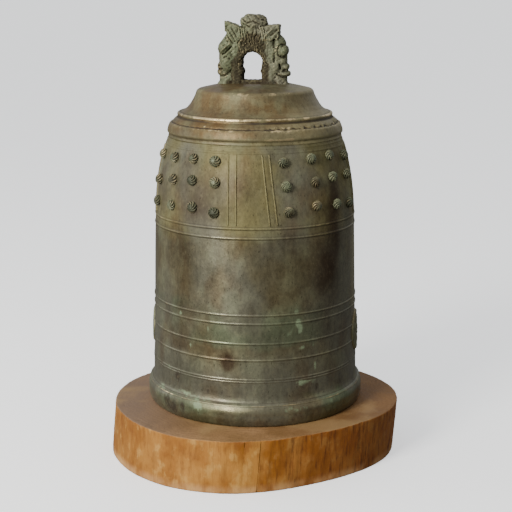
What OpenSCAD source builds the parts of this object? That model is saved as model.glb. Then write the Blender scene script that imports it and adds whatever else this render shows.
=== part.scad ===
// Bronze temple bell standing on a slice of a log.
//
// Frame: +Z is up, and the origin is on the slab's underside, below the bell's axis.
// The eye of the hanging loop runs along Y, and the striking seats face -X and +X.
// The bell is struck from outside, so it is hollow and holds no clapper.

/* [Bell] */
// Diameter of the mouth, over the lip
mouth_d = 300; // [240:10:360]
// Thickness of the waist's wall
wall_t = 7; // [6:0.5:9]
// Thickness of the lip at the mouth
lip_t = 20; // [18:1:25]
// Angle by which the boss zone is turned against the hanging loop
zone_turn = 5.5; // [0:0.5:8]

/* [Bosses and cords] */
// Diameter of one boss
boss_d = 14; // [11:0.5:15]
// Height of one boss above the wall
boss_h = 7; // [5:0.5:9]
// Width of one raised cord
cord_w = 2.4; // [1.6:0.2:4]
// Height of the cords above the wall
cord_h = 1.4; // [1:0.1:2]
// Diameter of a striking seat
seat_d = 58; // [48:1:64]
// Height of a striking seat above the wall
seat_h = 3; // [2:0.5:5]

/* [Hanging loop] */
// Thickness of the loop from front to back
loop_t = 28; // [24:1:32]
// Width of the loop's eye
eye_w = 27; // [23:1:31]
// Sideways distance from the bell's axis to the loop's middle
loop_shift = 2; // [0:0.5:4]

/* [Base] */
// Thickness of the slab
base_t = 72; // [45:1:90]
// Mean distance by which the slab reaches past the lip
base_margin = 38; // [33:1:60]

/* [Hidden] */
$fn = 96;
eps = 0.05;      // play of a plug in its socket, on each side
far = 400;       // longer than any part, for cutting bodies

PANELS = ["front_right", "back_right", "back_left", "front_left"];
ROWS = ["lower", "middle", "upper"];

bronze_olive = [0.44, 0.43, 0.31];
bronze_brown = [0.47, 0.39, 0.25];
bronze_green = [0.42, 0.46, 0.37];
wood_orange = [0.66, 0.47, 0.27];

// The proportions below are those of a bell whose mouth measures 300, times k.
// Heights are measured up from a level that lies 3 above the mouth, and radii from the
// bell's axis.
k = mouth_d / 300;
lip_drop = 3 * k;
level_z = base_t + lip_drop;

// Lip: a thick face that bulges a little, then a cove that runs into the waist
lip_h = 26 * k;
lip_mid = 12 * k;
lip_max_r = mouth_d / 2 + k;
lip_fall = 2.2 * k;
cove_r = 4.2 * k;

// Waist and shoulder
waist_z = 40 * k;
waist_r = 143 * k;
waist_taper = 0.025;
shoulder_z = 215 * k;
shoulder_in = 16.3 * k;
shoulder_power = 3.5;
shell_h = 366 * k;

// Horizontal ring cords, each with its height and how far it stands proud: a faint double
// one above the lip, four round the lower part, two below the boss zone, two faint ones above
rings = [
    [57.3, 0.9], [60.5, 0.9], [87, 1.3], [109.1, 1.3], [135.9, 1.3], [147.4, 1.3],
    [249, 1.3], [261.8, 1.3], [357.6, 0.45], [363.2, 0.35]
] * k;
ring_r = 1.75 * k;
// Bead along the upper edge of the lip
bead_z = lip_h + k;
bead_h = 1.2 * k;

// Inside of the shell: thick at the lip, then even
thick_h = 60 * k;
lip_in = lip_t - wall_t - (mouth_d / 2 - waist_r);

// Boss zone: four panels of three rows of four bosses
row_z = [284.5, 317, 347] * k;
column_step = 16.8;
socket_depth = 2;
neck_d = boss_d - 2;
neck_h = 0.7;
belly_h = 1.7;
dome_power = 1.2;

// Cords between the panels: sideways place at mid height, and lean from upright
cord_x = [-29, -18.8, 19.7, 29.2] * k;
cord_lean = [0, 0, -6.8, -7.4];
cord_mid_z = 310.8 * k;
cord_len = 89 * k;

// Striking seats
seat_z = 96 * k;
seat_sunk = 1.5;

// Crown: a separate casting that stands on the shell, with a spigot inside it
spigot_r = wall_r(shell_h) - wall_t - 0.2;
spigot_h = 11 * k;
crown_wall = 7 * k;
crown_top = 437 * k;
crown_inside_top = 427 * k;
// The crown's cove, seen in outline, is part of a circle about this point
cove_c = [109, 429.5] * k;
crown_cove_r = 30 * k;

// Hanging loop and its two heads
foot_z = 432 * k;
arch_r = 31 * k;
arch_z = 484 * k;
eye_top = 478 * k;
leg_x = 47.5 * k;
head_r = 17 * k;
head_x = 33.5 * k;
jewel_r = 16.3 * k;
jewel_top = 529 * k;

// Slab: mean radius, then the size and direction of each departure from a circle
slab_r = mouth_d / 2 + base_margin;
slab_waves = [[16, -92], [10, 52], [3.5, -11], [3.5, -10]];
slab_steps = 90;
crack_angle = -80.5;
crack_w = 0.8;
crack_depth = 20;

// ---------------------------------------------------------------- outlines

function wall_r(z) = waist_r - waist_taper * (z - waist_z)
    - shoulder_in * pow(max(0, (z - shoulder_z) / (shell_h - shoulder_z)), shoulder_power);

function lip_face_r(z) = lip_max_r - lip_fall * pow((z - lip_mid) / lip_mid, 2);

function cove_face_r(z) = waist_r + cove_r * pow((waist_z - z) / (waist_z - lip_h), 3);

function inner_r(z) = wall_r(max(z, waist_z)) - wall_t
    - lip_in * pow(max(0, (thick_h - z) / thick_h), 2);

// Heights of a run of steps, and the points of an arc about c
function steps(z0, z1, n) = [for (i = [0:n]) z0 + (z1 - z0) * i / n];
function arc(c, r, a0, a1, n) =
    [for (a = steps(a0, a1, n)) c + r * [cos(a), sin(a)]];

// Outside of the shell from the mouth up, the wall moved out by grow
function wall_points(grow, z0, z1, n) = [for (z = steps(z0, z1, n)) [wall_r(z) + grow, z]];

module shell_outline() {
    polygon(concat(
        [for (z = steps(-lip_drop, lip_h, 6)) [lip_face_r(z), z]],
        [for (z = steps(lip_h + k, waist_z, 4)) [cove_face_r(z), z]],
        wall_points(0, shoulder_z, shell_h, 10),
        [for (z = steps(shell_h, shoulder_z, 8)) [inner_r(z), z]],
        [for (z = steps(thick_h, -lip_drop, 4)) [inner_r(z), z]]
    ));
    translate([cove_face_r(bead_z) + bead_h - ring_r, bead_z]) circle(r = ring_r);
    for (ring = rings) translate([wall_r(ring[0]) + ring[1] - ring_r, ring[0]]) circle(r = ring_r);
}

module crown_outline() {
    polygon(concat(
        [[0, crown_top]],
        k * [[50, 435.5]],
        arc(k * [72.5, 423.5], 6.5 * k, 75, 5, 5),
        arc(cove_c, crown_cove_r, 191, 252, 6),
        arc(k * [103.4, 396.4], 2.6 * k, 130, -40, 6),
        k * [[106, 392.5], [109.4, 390.2], [111.8, 387.8], [113.6, 385], [115, 385.2]],
        k * [[117.9, 381.4], [119.6, 375], [119.4, 372.4], [118, 371], [118.2, 368.5]],
        [[wall_r(shell_h), shell_h]],
        [[spigot_r, shell_h], [spigot_r, shell_h - spigot_h]],
        [[spigot_r - crown_wall, shell_h - spigot_h]],
        k * [[104, 374], [101, 386], [97, 391]],
        arc(cove_c, crown_cove_r + crown_wall + k, 236, 202, 4),
        [[63 * k, 423.5 * k], [0, crown_inside_top]]
    ));
}

module loop_outline() {
    translate([0, arch_z]) circle(r = arch_r);
    translate([-arch_r, foot_z]) square([2 * arch_r, arch_z - foot_z]);
}

module eye_outline() {
    translate([0, eye_top - eye_w / 2]) circle(d = eye_w);
    translate([-eye_w / 2, foot_z - 1]) square([eye_w, eye_top - eye_w / 2 - foot_z + 1]);
}

// Profile of a head that looks along +X: chin, nose, brow, and an ear at the back
module head_outline() {
    polygon(k * [
        [20, 440], [47, 440], [46.2, 447], [49.4, 450.5], [50, 455], [48.8, 458],
        [50, 462], [48.8, 467], [45.8, 471.5], [47.4, 476], [48, 482], [45.6, 491],
        [40.5, 498], [37.6, 505], [38.4, 518.5], [29, 517], [20, 511]
    ]);
}

module jewel_outline() {
    polygon(concat(
        [[0, jewel_top]],
        arc([jewel_r - 8.5 * k, jewel_top - 8.5 * k], 8.5 * k, 90, -55, 8),
        k * [[11, 507], [11, 500], [0, 500]]
    ));
}

// Radius of the slab's edge in direction a
function slab_edge(a) = slab_r
    + k * slab_waves[0][0] * cos(a - slab_waves[0][1])
    + k * slab_waves[1][0] * cos(2 * a - slab_waves[1][1])
    + k * slab_waves[2][0] * cos(3 * a - slab_waves[2][1])
    + k * slab_waves[3][0] * cos(4 * a - slab_waves[3][1]);

// ------------------------------------------------------------------ helpers

// Upright solid between two heights whose side follows the wall, moved out by grow
module wall_body(grow, z0, z1, n) {
    rotate_extrude() polygon(concat([[0, z0]], wall_points(grow, z0, z1, n), [[0, z1]]));
}

// Places its children at a boss: on the wall, with +Z along the wall's outward normal
module at_boss(panel, row, column) {
    z = row_z[row];
    lean = atan((wall_r(z - k) - wall_r(z + k)) / (2 * k));
    turn = 90 * panel - 45 + zone_turn + column_step * (column - 1.5);
    rotate([0, 0, turn]) translate([wall_r(z), 0, z]) rotate([0, 90 - lean, 0]) children();
}

module seat_cylinder(side, d) {
    rotate([0, 90 * side, 0]) translate([-seat_z * side, 0, 0]) cylinder(d = d, h = far / 2);
}

// Solid of an outline drawn in the loop's own plane, as thick as t along Y
module upright(t) {
    translate([-loop_shift, t / 2, 0]) rotate([90, 0, 0]) linear_extrude(t) children();
}

// ---------------------------------------------------------------- sub-parts

module log_base() {
    color(wood_orange)
    difference() {
        linear_extrude(base_t) polygon([
            for (i = [1:slab_steps])
                let (a = 360 * i / slab_steps)
                slab_edge(a) * [cos(a), sin(a)]
        ]);
        rotate([0, 0, crack_angle])
        translate([slab_edge(crack_angle) - crack_depth, -crack_w / 2, -1])
        cube([far, crack_w, base_t + 2]);
    }
}

module bell_shell() {
    color(bronze_olive)
    translate([0, 0, level_z])
    difference() {
        rotate_extrude() shell_outline();
        for (panel = [0:3], row = [0:2], column = [0:3])
            at_boss(panel, row, column)
            translate([0, 0, -socket_depth]) cylinder(d = neck_d + 2 * eps, h = far / 20);
        for (side = [-1, 1])
            difference() {
                seat_cylinder(side, seat_d + 2 * eps);
                wall_body(-seat_sunk, seat_z - seat_d, seat_z + seat_d, 1);
            }
    }
}

module crown_dome() {
    color(bronze_brown)
    translate([0, 0, level_z])
    difference() {
        rotate_extrude() crown_outline();
        for (side = [-1, 1])
            translate([
                side * (leg_x + eye_w / 2) / 2 - loop_shift, 0, foot_z + far / 2
            ])
            cube([leg_x - eye_w / 2 + 2 * eps, loop_t + 2 * eps, far], center = true);
    }
}

module crown_loop() {
    color(bronze_green)
    translate([0, 0, level_z])
    upright(loop_t) difference() {
        loop_outline();
        eye_outline();
    }
}

// Head that looks along +X, with its leg let into the crown
module dragon_head() {
    difference() {
        union() {
            intersection() {
                upright(2 * head_r) head_outline();
                translate([head_x - loop_shift, 0, 0]) cylinder(r = head_r, h = 2 * far);
            }
            translate([arch_r - loop_shift, -loop_t / 2, foot_z])
            cube([leg_x - arch_r, loop_t, 20 * k]);
        }
        upright(3 * head_r) loop_outline();
        // gap between the two ears
        translate([head_x - loop_shift, 0, 517 * k])
        rotate([0, 90, 0]) cylinder(r = 8 * k, h = far, center = true);
    }
}

module dragon_head_right() {
    color(bronze_green)
    translate([0, 0, level_z]) dragon_head();
}

module dragon_head_left() {
    color(bronze_green)
    translate([-2 * loop_shift, 0, level_z]) rotate([0, 0, 180]) dragon_head();
}

module loop_jewel() {
    color(bronze_green)
    translate([0, 0, level_z])
    difference() {
        translate([-loop_shift, 0, 0]) rotate_extrude() jewel_outline();
        upright(3 * head_r) loop_outline();
    }
}

// Band of four raised cords at one of the quarters, 0 being the front
module cord_band(quarter) {
    color(bronze_olive)
    translate([0, 0, level_z])
    rotate([0, 0, 90 * quarter + zone_turn])
    for (i = [0:len(cord_x) - 1])
        intersection() {
            translate([cord_x[i], -waist_r, cord_mid_z])
            rotate([0, cord_lean[i], 0])
            cube([cord_w, waist_r, cord_len], center = true);
            difference() {
                wall_body(cord_h, shoulder_z, shell_h, 10);
                wall_body(0, shoulder_z, shell_h, 10);
            }
        }
}

module cords_front() { cord_band(0); }
module cords_right() { cord_band(1); }
module cords_back() { cord_band(2); }
module cords_left() { cord_band(3); }

// One boss: a plug in the wall, a short neck and a pointed dome
module boss() {
    rotate_extrude() polygon(concat(
        [[0, -socket_depth], [neck_d / 2, -socket_depth], [neck_d / 2, neck_h]],
        [for (a = steps(0, 80, 6)) [
            boss_d / 2 * cos(a),
            belly_h + (boss_h - belly_h) * pow(sin(a), dome_power)
        ]],
        [[0, boss_h]]
    ));
}

module boss_row(panel, row) {
    color(bronze_olive)
    translate([0, 0, level_z])
    for (column = [0:3]) at_boss(panel, row, column) boss();
}

module striking_seat(side) {
    color(bronze_olive)
    translate([0, 0, level_z])
    difference() {
        intersection() {
            seat_cylinder(side, seat_d);
            wall_body(seat_h, seat_z - seat_d, seat_z + seat_d, 1);
        }
        wall_body(-seat_sunk, seat_z - 2 * seat_d, seat_z + 2 * seat_d, 1);
    }
}

module striking_seat_left() { striking_seat(-1); }
module striking_seat_right() { striking_seat(1); }

log_base();
bell_shell();
crown_dome();
crown_loop();
dragon_head_left();
dragon_head_right();
loop_jewel();
cords_front();
cords_right();
cords_back();
cords_left();
for (panel = [0:3], row = [0:2])
    boss_row(panel, row);
striking_seat_left();
striking_seat_right();
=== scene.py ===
"""Looks of a bronze temple bell that stands on a slice of a log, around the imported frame."""
import math

import bmesh
import bpy
import numpy as np
from mathutils import Matrix, Vector


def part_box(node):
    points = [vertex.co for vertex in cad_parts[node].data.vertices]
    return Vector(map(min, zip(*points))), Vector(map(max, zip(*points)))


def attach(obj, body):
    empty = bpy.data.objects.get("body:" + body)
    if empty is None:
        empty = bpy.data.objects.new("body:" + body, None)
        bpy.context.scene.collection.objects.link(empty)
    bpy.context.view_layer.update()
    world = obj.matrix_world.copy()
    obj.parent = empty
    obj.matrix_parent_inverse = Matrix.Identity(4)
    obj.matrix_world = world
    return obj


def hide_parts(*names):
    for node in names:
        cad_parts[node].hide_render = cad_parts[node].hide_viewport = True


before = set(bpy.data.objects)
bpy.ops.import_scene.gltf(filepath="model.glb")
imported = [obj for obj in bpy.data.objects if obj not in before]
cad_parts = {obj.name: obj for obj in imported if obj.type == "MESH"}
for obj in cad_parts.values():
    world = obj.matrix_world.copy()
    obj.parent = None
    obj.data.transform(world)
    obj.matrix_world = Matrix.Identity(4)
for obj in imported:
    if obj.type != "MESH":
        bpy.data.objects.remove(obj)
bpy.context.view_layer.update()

# ---- measures from the frame

_, base_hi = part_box("log_base")
shell_lo, shell_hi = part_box("bell_shell")
loop_lo, loop_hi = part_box("crown_loop")

MM = 0.001
SHELL_H = 366.0  # in bell units, which are millimetres on a bell whose mouth measures 300
LIP_DROP = 3.0  # from the level that heights are measured from down to the mouth
UNIT = (shell_hi.z - shell_lo.z) / (SHELL_H + LIP_DROP)
LEVEL_Z = shell_lo.z + LIP_DROP * UNIT
BASE_T = base_hi.z
LOOP_X = (loop_lo.x + loop_hi.x) / 2 / UNIT
ZONE_TURN = math.radians(5.5)

# The shell's outline, in bell units
LIP_H, LIP_MID, LIP_MAX_R, LIP_FALL, COVE = 26.0, 12.0, 151.0, 2.2, 4.2
WAIST_Z, WAIST_R, TAPER = 40.0, 143.0, 0.025
SHOULDER_Z, SHOULDER_IN, SHOULDER_POWER = 215.0, 16.3, 3.5
WALL_T, THICK_H, LIP_IN = 7.0, 60.0, 6.0
# each cord round the shell: its height, half its width, and how proud it stands
RINGS = (
    (27.0, 1.7, 0.8), (57.3, 1.5, 0.5), (60.5, 1.5, 0.5), (87.0, 1.5, 0.8), (109.1, 1.5, 0.75),
    (135.9, 1.5, 0.8), (147.4, 1.5, 0.95), (249.0, 1.6, 1.0), (261.8, 1.6, 1.0), (357.6, 1.4, 0.45),
    (363.2, 1.4, 0.35),
)
ROWS = {"lower": 284.5, "middle": 317.0, "upper": 347.0}
PANELS = ("front_right", "back_right", "back_left", "front_left")
COLUMN_STEP = math.radians(16.8)
# how far each boss of the two front panels stands from its place: (round the bell, up), by column
HAND_SET = {
    "bosses_front_left_upper": ((-3.0, -1.9), (1.0, -2.8), (0.0, 0.0), (-3.1, 0.0)),
    "bosses_front_left_middle": ((1.9, -4.5), (4.6, 0.9), (3.7, 2.8), (-1.0, 1.9)),
    "bosses_front_left_lower": ((0.0, -1.9), (6.0, -0.9), (7.0, 1.9), (-0.4, -3.8)),
    "bosses_front_right_upper": ((-2.0, -1.9), (1.8, 0.9), (0.0, 1.9), (3.6, -3.4)),
    "bosses_front_right_middle": ((0.0, -1.9), (3.9, 0.9), (-1.5, 3.8), (-3.0, 4.0)),
    "bosses_front_right_lower": ((3.0, -2.8), (3.4, 2.8), (3.0, 0.9), (-3.0, -1.9)),
}
SEAT_Z, SEAT_R = 96.0, 29.0
# marks on the shell: direction in degrees from +X, height, width, height of the mark, amount
STAINS = (
    (-134, 15, 9, 10, -1.5), (-128, 12, 7, 9, -1.4), (-122, 15, 4, 8, -1.1), (-131, 22, 3, 7, 1.0),
    (-137, 60, 9, 6, 0.6), (-132, 44, 8, 12, -0.6), (-124, 33, 14, 3, 0.8), (-108, 30, 12, 3, 0.6),
    (-113, 20, 16, 7, 0.8), (-103, 22, 7, 5, 0.7), (-141, 29, 18, 4, 0.8), (-118, 30, 16, 4, 0.5),
    (-60, 20, 34, 5, 0.5), (-36, 22, 18, 5, 0.5), (-129, 50, 5, 8, -1.1), (-108, 40, 3, 4, -1.1),
    (-100, 40, 3, 4, -1.0), (-47, 43, 4, 5, -1.1), (-58, 134, 5, 7, 1.4), (-57, 125, 4, 6, 1.0),
    (-59, 151, 5, 6, 0.7), (-63, 124, 6, 9, 0.7), (-62, 80, 4, 6, 0.9), (-47.7, 75, 2.5, 6, 1.3),
    (-60, 68, 5, 4, 0.6), (-57, 53, 7, 3.4, 1.5), (-50, 53, 8, 3, 0.9), (-57, 101, 8, 4, 0.8),
    (-48, 102, 6, 4, 0.7), (-39, 103, 5, 4, 0.8), (-119, 99, 5, 4, 0.9), (-127, 141, 3, 3, 1.3),
    (-108, 127, 3, 7, 0.6), (30, 60, 26, 16, 0.5), (75, 25, 30, 12, 0.6), (120, 130, 24, 14, 0.5),
    (150, 40, 20, 14, -0.6), (170, 150, 14, 30, 0.4), (60, 190, 30, 40, -0.35),
)
# broad soft changes, in the same form: above 0 paler, below 0 browner and darker. Some are brown patina;
# many are painted light: painted highlights and reflections, such as the pale strip near the right edge
# of the waist and the paler middle of the lip, and painted shade and dark reflections, such as the dark
# bands on the right of the waist and of the boss zone, the darker left of the boss zone and the darker
# foot of the lip
TONES_AND_PAINTED_LIGHT = (
    (-37, 205, 29, 62, -0.95), (-40, 120, 24, 40, -0.2), (-58, 215, 24, 50, -0.5), (-7, 200, 17, 80, 1.0),
    (-116, 305, 44, 60, -0.8), (-84, 312, 36, 50, -0.45), (-30, 135, 20, 12, 0.3),
    (-96.5, 85, 13, 12, -1.0), (-96.5, 75, 8, 8, -0.5), (-124, 215, 20, 40, -0.4), (-101, 200, 14, 60, 0.3),
    (-30, 40, 20, 18, -0.5), (-122, 97, 30, 7, -0.35), (-88, 232, 14, 14, -0.25),
    (-150, 200, 20, 60, 0.25), (-95, 3, 80, 9, -0.45), (-31, 290, 17, 45, -1.0), (-143, 290, 18, 40, -0.2),
    (40, 220, 40, 60, -0.5), (110, 110, 50, 50, 0.3), (160, 230, 40, 40, -0.4),
    (95, 4, 120, 9, -0.5), (-150, 320, 22, 50, -0.5), (-90, 20, 26, 8, 0.6), (-66, 18, 34, 12, 0.5),
    (-128, 22, 30, 8, -0.45),
)
# each cord of an upright band: how far right of the band's middle, and its lean in degrees
CORDS = ((-29, 0), (-18.8, 0), (19.7, -6.8), (29.2, -7.4))
CORD_Z, CORD_HALF = 310.8, 45  # the middle of the cords, and half their height
# where the lip is rubbed to bare metal, placed where the highlight falls: partly wear, partly a painted
# highlight
POLISHED_AND_PAINTED_GLINT = ((-91, 21.5, 18, 2.0, 1.9), (-101, 22.5, 2, 1.8, 1.2))

EYE_Z, EYE_HALF = 465.8, 13.0  # the middle of the loop eye's arch, and half the eye's width
SILL_Z = 441.2
# the block in which the loop is worked out, and the size of its cells
LOOP_LOWEST, LOOP_HIGHEST, LOOP_STEP = (-54.0, -19.0, 428.0), (54.0, 19.0, 532.0), 0.7
LOOP_FOOT = 430.0  # the loop ends here, inside the crown

# the slab's edge: its mean radius, then the size and direction in degrees of each wave round it
SLAB_MEAN_R = 188.0
SLAB_WAVES = ((16, -92), (10, 52), (3.5, -11), (3.5, -10))
SLAB_LEAN = 6.0  # how far the slab's underside lies left of its top
CRACK_TURN = math.radians(-80.5)
SHORT_CRACK_TURN = math.radians(-86.5)
CRACK_HALF = 0.12  # half a crack's width, in degrees round the slab

# ---- the stage, in metres

# softboxes: degrees from the front towards the left, height, distance, width, tallness, watts, colour
SOFTBOXES = {
    "window": (30, 1.25, 2.6, 0.9, 1.6, 120, (1.0, 0.975, 0.93)),
    "side_fill": (92, 0.9, 3.0, 1.4, 1.6, 16, (0.92, 0.96, 1.0)),
    "right_fill": (-78, 0.8, 3.0, 1.4, 1.6, 7, (1.0, 0.97, 0.9)),
}
LIT = Vector((0, 0, 0.3))  # what the softboxes are aimed at
# strength of the sky's light everywhere, and what is added from the left, the back and above
SKY_LOW, SKY_LEFT, SKY_BACK, SKY_TOP = 0.16, 0.6, 0.4, 0.6
SKY_LIGHT, SKY_SHOWN = (0.95, 0.97, 1.0, 1), (0.96, 0.98, 1.0, 1)
FLOOR_HALF = 90.0
FLOOR_LIT, FLOOR_SHOWN, FLOOR_GLOW = (0.16, 0.155, 0.15, 1), (0.80, 0.795, 0.78, 1), 0.8
CAMERA_TURN = math.radians(8)  # from the front towards the right
CAMERA_AWAY = 1.679  # from the bell's axis
CAMERA_ABOVE = 0.576  # above the level that heights are measured from
CAMERA_DIP = math.radians(12.76)
CAMERA_LENS, CAMERA_FILM, CAMERA_SHIFT = 86.37, 36, 0.002


def wall_r(z):
    """Radius of the wall's outside at height z, without its cords."""
    bend = np.clip((z - SHOULDER_Z) / (SHELL_H - SHOULDER_Z), 0, None)
    return WAIST_R - TAPER * (z - WAIST_Z) - SHOULDER_IN * bend**SHOULDER_POWER


def bell(points):
    """Points in bell units, as points of the frame."""
    return np.asarray(points, float) * UNIT + (0, 0, LEVEL_Z)


# ---- mesh helpers

def clip01(values):
    return np.clip(values, 0, 1)


def hump(x, middle, wide):
    """1 where x is at the middle, falling away softly on both sides."""
    return np.exp(-(((x - middle) / wide) ** 2))


def waves(points, size, seed, count=14):
    """Smooth noise from -1 to 1 about size across, the same on every run."""
    draw = np.random.default_rng(seed)
    lean = draw.normal(size=(3, count)) * (2 * math.pi / size / math.sqrt(3))
    start = draw.uniform(0, 2 * math.pi, count)
    return np.clip(np.sin(points @ lean + start).sum(-1) / math.sqrt(count), -2, 2) / 2


def placed(name, data):
    """A new object in the scene that shows data."""
    obj = bpy.data.objects.new(name, data)
    bpy.context.scene.collection.objects.link(obj)
    return obj


def piece(name, points, faces, body, *nodes):
    """A smooth piece with outward normals that rides on body and replaces CAD nodes."""
    mesh = bpy.data.meshes.new(name)
    mesh.from_pydata(np.asarray(points).tolist(), [], [list(f) for f in faces])
    work = bmesh.new()
    work.from_mesh(mesh)
    bmesh.ops.recalc_face_normals(work, faces=work.faces)
    work.to_mesh(mesh)
    work.free()
    mesh.shade_smooth()
    obj = placed(name, mesh)
    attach(obj, body)
    if nodes:
        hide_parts(*nodes)
    return obj


def skin(rows, loop=False, caps=()):
    """Points and faces over rows of points, where each row closes on itself.

    loop joins the last row to the first; caps lists the rows that close onto a point.
    """
    n, m, _ = rows.shape
    i = np.arange(n if loop else n - 1)[:, None]
    j = np.arange(m)[None, :]
    after = (i + 1) % n
    beside = (j + 1) % m
    faces = np.stack(
        [i * m + j, i * m + beside, after * m + beside, after * m + j], -1
    ).reshape(-1, 4).tolist()
    points = rows.reshape(-1, 3)
    for row in caps:
        tip = len(points)
        points = np.vstack([points, rows[row].mean(0)])
        first = (row % n) * m
        faces += [[first + a, first + (a + 1) % m, tip] for a in range(m)]
    return points, faces


def joined(parts):
    """One list of points and faces from several."""
    points, faces, base = [], [], 0
    for co, fs in parts:
        points.append(co)
        faces += [[v + base for v in f] for f in fs]
        base += len(co)
    return np.vstack(points), faces


def keep(obj, name, values):
    """Stores one number per point, from -1 to 1, for the materials to read."""
    data = obj.data.attributes.new(name, "FLOAT", "POINT").data
    data.foreach_set("value", np.clip(values, -1, 1).astype(np.float32))


def points_of(obj):
    """The points of a piece, one row each."""
    co = np.empty(len(obj.data.vertices) * 3)
    obj.data.vertices.foreach_get("co", co)
    return co.reshape(-1, 3)


def relief_of(obj, passes, full):
    """How proud (+1) or hollow (-1) each point lies against its surroundings; full is that height."""
    mesh = obj.data
    n = len(mesh.vertices)
    co, normal = points_of(obj), np.empty(n * 3)
    mesh.vertices.foreach_get("normal", normal)
    normal = normal.reshape(-1, 3)
    ends = np.empty(len(mesh.edges) * 2, int)
    mesh.edges.foreach_get("vertices", ends)
    a, b = ends[0::2], ends[1::2]
    degree = np.bincount(a, minlength=n) + np.bincount(b, minlength=n)
    soft = co.copy()
    for _ in range(passes):
        near = [np.bincount(a, soft[b, k], n) + np.bincount(b, soft[a, k], n) for k in range(3)]
        soft = (soft + np.stack(near, 1) / degree[:, None]) / 2
    return ((co - soft) * normal).sum(1) / full


# ---- the bell's body

def turned(r, z, around):
    """Rows of points round the bell's axis, one for each radius and height."""
    turn = np.linspace(0, 2 * math.pi, around, endpoint=False)
    return np.stack([r * np.cos(turn), r * np.sin(turn), z + 0 * turn], -1)


def outer_r(z):
    """Radius of the shell's outside with its lip and ring cords, for an array of heights."""
    face = LIP_MAX_R - LIP_FALL * ((z - LIP_MID) / LIP_MID) ** 2
    face += 0.5 * hump(z, 20, 5) - 0.3 * hump(z, 12.5, 3.0)
    face -= 1.2 * clip01(1 - (z + LIP_DROP) / 2.0) ** 2
    cove = WAIST_R + COVE * np.clip((WAIST_Z - z) / (WAIST_Z - LIP_H), 0, None) ** 3
    r = np.where(z < LIP_H, face, np.where(z < WAIST_Z, cove, wall_r(z)))
    for ring, half, proud in RINGS:
        r = r + proud * np.sqrt(clip01(1 - ((z - ring) / half) ** 2))
    return r


def inner_r(z):
    """Radius of the shell's inside, which is thicker towards the lip."""
    thick = np.clip((THICK_H - z) / THICK_H, 0, None) ** 2
    return wall_r(np.maximum(z, WAIST_Z)) - WALL_T - LIP_IN * thick


def spot(grid, turn, z, wide, high):
    """A soft round mark on the shell's wall, 1 in its middle; turn is in degrees from +X."""
    beside = np.degrees(np.arctan2(grid[..., 1], grid[..., 0])) - turn
    beside = np.radians((beside + 180) % 360 - 180) * WAIST_R
    return np.exp(-((beside / wide) ** 2) - ((grid[..., 2] - z) / high) ** 2)


def marks(grid, table):
    """The sum of a table's marks at each point."""
    return sum(amount * spot(grid, *where) for *where, amount in table)


def make_shell():
    """The bell's body with its ring cords, and its marks."""
    fine = np.array([-2.4, -1.5, -1.0, -0.6, 0, 0.6, 1.0, 1.5, 2.4])
    heights = np.concatenate(
        [np.linspace(-LIP_DROP, 25, 16), np.linspace(33, 150, 27), np.linspace(158, 357, 24)]
        + [z + half * fine for z, half, _ in RINGS]
    )
    heights = np.unique(np.round(np.clip(heights, -LIP_DROP, SHELL_H), 2))
    heights = heights[np.append(True, np.diff(heights) > 0.12)]
    inside = np.linspace(SHELL_H, -LIP_DROP, 20)
    z = np.concatenate([heights, inside])[:, None]
    r = np.concatenate([outer_r(heights), inner_r(inside)])[:, None]
    grid = turned(r, z, around=480)
    uneven = 0.35 * waves(grid, 90, 1) + 0.14 * waves(grid, 22, 2) + 0.06 * waves(grid, 9, 3)
    away = clip01((z + LIP_DROP) / 4)
    out = grid[..., :2] / r[..., None]
    grid[..., :2] += out * (uneven * away)[..., None]
    points, faces = skin(bell(grid), loop=True)
    obj = piece("bell_body", points, faces, "bell", "bell_shell")
    # proud and hollow against the mean of the outline 2 mm up and down
    near = np.mean([outer_r(heights + d) for d in np.linspace(-2, 2, 13)], axis=0)
    proud = np.concatenate([(outer_r(heights) - near) / 0.8, np.full(len(inside), -0.3)])
    ragged = 0.75 + 0.5 * waves(grid, 14, 5) + 0.35 * waves(grid, 5, 6)
    # the lip's rubbed patch goes into the relief here: partly wear, partly a painted highlight
    keep(obj, "relief", (proud[:, None] + marks(grid, POLISHED_AND_PAINTED_GLINT)).ravel())
    keep(obj, "stain", (marks(grid, STAINS) * ragged).ravel())
    # broad changes kept for the material: partly patina, partly painted highlights, reflections and shade
    keep(obj, "tone_and_painted_light", (marks(grid, TONES_AND_PAINTED_LIGHT) * (1 + 0.4 * waves(grid, 40, 7))).ravel())
    return [obj]


def arc(x, z, r, start, end, n):
    """Points on an arc about (x, z), with angles in degrees."""
    a = np.radians(np.linspace(start, end, n))
    return [(x + r * math.cos(t), z + r * math.sin(t)) for t in a]


def drawn(points, spacing):
    """An outline resampled evenly, about spacing apart."""
    points = np.array(points, float)
    length = np.append(0, np.cumsum(np.hypot(*np.diff(points, axis=0).T)))
    at = np.linspace(0, length[-1], int(length[-1] / spacing) + 1)
    return np.stack([np.interp(at, length, points[:, k]) for k in (0, 1)], 1)


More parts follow.
